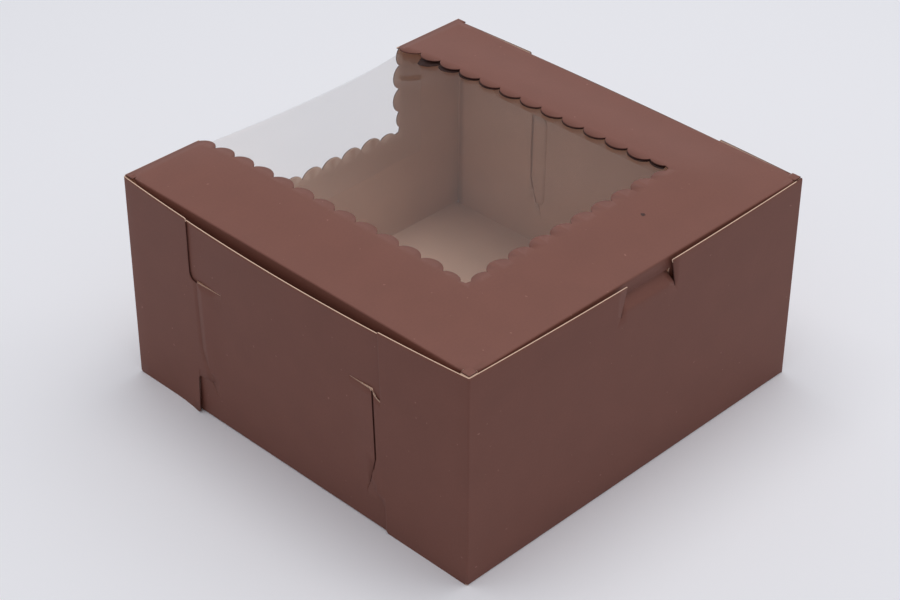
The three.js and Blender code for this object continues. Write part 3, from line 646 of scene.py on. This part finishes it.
# %% Crease strips
t = np.linspace(0, 1, 9)
crease_y = WALL_MID + (LID_REAR - WALL_MID) * t**3
crease_z = HINGE_WALL_TOP + (HEIGHT - MID - HINGE_WALL_TOP) * (1 - (1 - t) ** 2)
for side, name in ((-1, "crease_left"), (1, "crease_right")):
    across = np.linspace(WINDOW_HALF - 2, LID_CORNER_X, 12) * side
    grid_x, grid_t = np.meshgrid(across, np.arange(len(t)), indexing="ij")
    points = np.column_stack([grid_x.ravel(), crease_y[grid_t.ravel()], crease_z[grid_t.ravel()]])
    quads = grid_faces(len(across), len(t))
    quads = quads if side < 0 else quads[:, ::-1]
    flat = np.column_stack([points[:, 0], 300 + grid_t.ravel() * 0.2])
    crease = put_mesh(name, points, quads, flat, BOARD_MATERIALS)
    thicken(crease, BOARD)
    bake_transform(crease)

# %% [markdown]
# ## Window film
#
# The film is one slack sheet, glued inside the lid and inside the hinge wall. It turns the corner in a
# soft curve that dips inward between the ends of the hinge fold, sags most near those ends, and has a
# few shallow wrinkles.


# %% Film surface
def film_material():
    """Clear glossy film: transparent with a little haze, and a mirror share from 0.01 head-on to 0.2 at
    a grazing view."""
    mat = bpy.data.materials.new("film_clear")
    mat.use_nodes = True
    nt = mat.node_tree
    nt.nodes.clear()
    clear = add_node(nt, "BsdfTransparent", {"Color": (1, 1, 1, 1)}).outputs[0]
    haze = add_node(nt, "BsdfDiffuse", {"Color": (0.9, 0.91, 0.93, 1)}).outputs[0]
    gloss = add_node(nt, "BsdfGlossy", {"Roughness": 0.12}).outputs[0]
    grazing = add_node(nt, "LayerWeight", {"Blend": 0.35}).outputs["Fresnel"]
    share = add_node(nt, "MapRange", {"To Min": 0.01, "To Max": 0.2}, {"Value": grazing}).outputs["Result"]
    body = add_node(nt, "MixShader", {0: 0.025}, {1: clear, 2: haze}).outputs[0]
    surface = add_node(nt, "MixShader", links={0: share, 1: body, 2: gloss}).outputs[0]
    add_node(nt, "OutputMaterial", links={"Surface": surface})
    return mat


GLUE_MARGIN = 13
FILM_HALF = WINDOW_HALF + GLUE_MARGIN
FILM_DEPTH = BOARD + 0.9
FILM_TURN, FILM_TURN_END, FILM_SKEW = 6.0, 1.0, 0.3
FILM_SAG, CORNER_SAG = 2.0, 4.6
SAG_U, SAG_U_REACH, SAG_S, SAG_S_REACH = 50, 9, 12, 14
RIPPLE, WRINKLE = 0.35, 0.3


def place_film(u, s):
    """Film point from across and from the distance s to the hinge, minus down the wall, plus on the lid.
    The corner is a quarter turn, of radius FILM_TURN + FILM_TURN_END in the middle and FILM_TURN_END at
    the ends, and somewhat wider on the right. The lid part sags towards the middle of the window, and by
    CORNER_SAG more around SAG_U from the middle and SAG_S from the hinge."""
    span = np.clip(1 - (u / WINDOW_HALF) ** 2, 0, 1)
    radius = FILM_TURN_END + FILM_TURN * span**0.7 * (1 + FILM_SKEW * u / WINDOW_HALF)
    turn = np.clip((s + radius * math.pi / 4) / radius, 0, math.pi / 2)
    straight_up = np.minimum(0, s + radius * math.pi / 4)
    straight_on = np.maximum(0, s - radius * math.pi / 4)
    y = DEPTH / 2 - FILM_DEPTH - radius + radius * np.cos(turn) - straight_on
    z = HEIGHT - FILM_DEPTH - radius + radius * np.sin(turn) + straight_up
    belly = WALL_BOW * np.clip(1 - (2 * u / WIDTH) ** 2, 0, 1) * np.sin(np.pi * np.clip(z / HEIGHT, 0, 1))
    on_wall = 1 - smooth(s, -20, 0)
    y = y + belly * on_wall
    on_lid = smooth(s, 0, 25)
    sag = FILM_SAG * span * smooth(DEPTH / 2 - WINDOW_FRONT - s, 0, 60)
    off_u, off_s = (np.abs(u) - SAG_U) / SAG_U_REACH, (s - SAG_S) / SAG_S_REACH
    corner_sag = CORNER_SAG * np.exp(-(off_u**2) - off_s**2)
    ripple = RIPPLE * np.sin(u / 9 + s / 31) * span * on_lid + WRINKLE * np.sin(u / 17 - s / 12) * span
    z = z + (crown(u, y) - sag - corner_sag + ripple) * on_lid
    y = y - WRINKLE * np.sin(u / 13 + s / 9) * span * on_wall
    return np.column_stack([u, y, z])


film_u = np.linspace(-FILM_HALF, FILM_HALF, 76)
film_s = np.concatenate([
    np.linspace(-(HEIGHT - WINDOW_FOOT + GLUE_MARGIN), -9, 24),
    np.linspace(-8, 8, 17),
    np.linspace(9, DEPTH / 2 - WINDOW_FRONT + GLUE_MARGIN, 70),
])
gu, gs = np.meshgrid(film_u, film_s, indexing="ij")
gu, gs = gu.ravel(), gs.ravel()
quads = grid_faces(len(film_u), len(film_s))
film = put_mesh("window_film", place_film(gu, gs), quads, np.column_stack([gu, gs]), [film_material()])
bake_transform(film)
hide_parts("window_film_lid", "window_film_back")

# %% [markdown]
# ## Stage and light
#
# The box stands on a wide pale floor. The light is a white room, brighter in reflections, with two large
# soft lamps, one overhead and one from the right, so that the top is lightest and the left wall darkest.

# %% Stage
floor_mat = bpy.data.materials.new("floor")
floor_mat.use_nodes = True
floor_shader = floor_mat.node_tree.nodes["Principled BSDF"]
floor_shader.inputs["Base Color"].default_value = srgb(247, 248, 253)
floor_shader.inputs["Roughness"].default_value = 0.9
floor_shader.inputs["Specular IOR Level"].default_value = 0.0
FLOOR = 6
floor_mesh = bpy.data.meshes.new("floor")
floor_mesh.from_pydata(
    [(-FLOOR, -FLOOR, 0), (FLOOR, -FLOOR, 0), (FLOOR, FLOOR, 0), (-FLOOR, FLOOR, 0)], [], [(0, 1, 2, 3)]
)
floor_mesh.materials.append(floor_mat)
floor = bpy.data.objects.new("floor", floor_mesh)
bpy.context.scene.collection.objects.link(floor)

world = bpy.data.worlds.new("studio")
bpy.context.scene.world = world
world.use_nodes = True
room = world.node_tree
room.nodes["Background"].inputs["Color"].default_value = (0.93, 0.95, 1.0, 1)
ROOM_LIGHT, MIRROR_LIGHT = 0.42, 0.85
glossy = add_node(room, "LightPath").outputs["Is Glossy Ray"]
strength = add_node(room, "Math", {1: MIRROR_LIGHT, 2: ROOM_LIGHT}, {0: glossy}, operation="MULTIPLY_ADD")
room.links.new(strength.outputs[0], room.nodes["Background"].inputs["Strength"])


def look_matrix(right, upward, back, place):
    """Matrix whose columns are an object's right, up and back directions and its place."""
    return Matrix([[right[k], upward[k], back[k], place[k]] for k in range(3)] + [[0, 0, 0, 1]])


def area_lamp(name, location, target, size, power):
    """A square, slightly warm area lamp at location that faces target."""
    light = bpy.data.lights.new(name, "AREA")
    light.size = size
    light.energy = power
    light.color = (1, 0.98, 0.96)
    lamp = bpy.data.objects.new(name, light)
    back = np.array(location) - np.array(target)
    back /= np.linalg.norm(back)
    right = np.cross([0, 0, 1], back)
    right /= np.linalg.norm(right)
    lamp.matrix_world = look_matrix(right, np.cross(back, right), back, location)
    bpy.context.scene.collection.objects.link(lamp)


LAMP_TARGET = (0, 0, 0.1)
area_lamp("key", (0.6, -0.35, 1.4), LAMP_TARGET, size=1.4, power=5.2)
area_lamp("top", (-0.05, 0.15, 1.5), LAMP_TARGET, size=1.0, power=7.8)

# %% [markdown]
# ## Camera
#
# The camera was found by fitting the eight corners of the box to the photograph: its place, turn,
# tilt, small roll and focal length.

# %% Camera
azimuth, elevation, roll = (math.radians(a) for a in (-45.425, 34.543, 0.231))
right = np.array([math.cos(azimuth), math.sin(azimuth), 0])
back = np.array([math.sin(azimuth), -math.cos(azimuth), 0]) * math.cos(elevation)
back[2] = math.sin(elevation)
upward = np.cross(back, right)
turned_right = math.cos(roll) * right + math.sin(roll) * upward
turned_up = -math.sin(roll) * right + math.cos(roll) * upward
camera_data = bpy.data.cameras.new("camera")
camera_data.lens = 90.83
camera_data.sensor_width = 36
camera = bpy.data.objects.new("camera", camera_data)
place = np.array([-590.49, -574.05, 605.71]) * MM
camera.matrix_world = look_matrix(turned_right, turned_up, back, place)
bpy.context.scene.collection.objects.link(camera)
bpy.context.scene.camera = camera
bpy.context.scene.view_settings.view_transform = "Standard"
print("camera at", place, "lens", camera_data.lens)
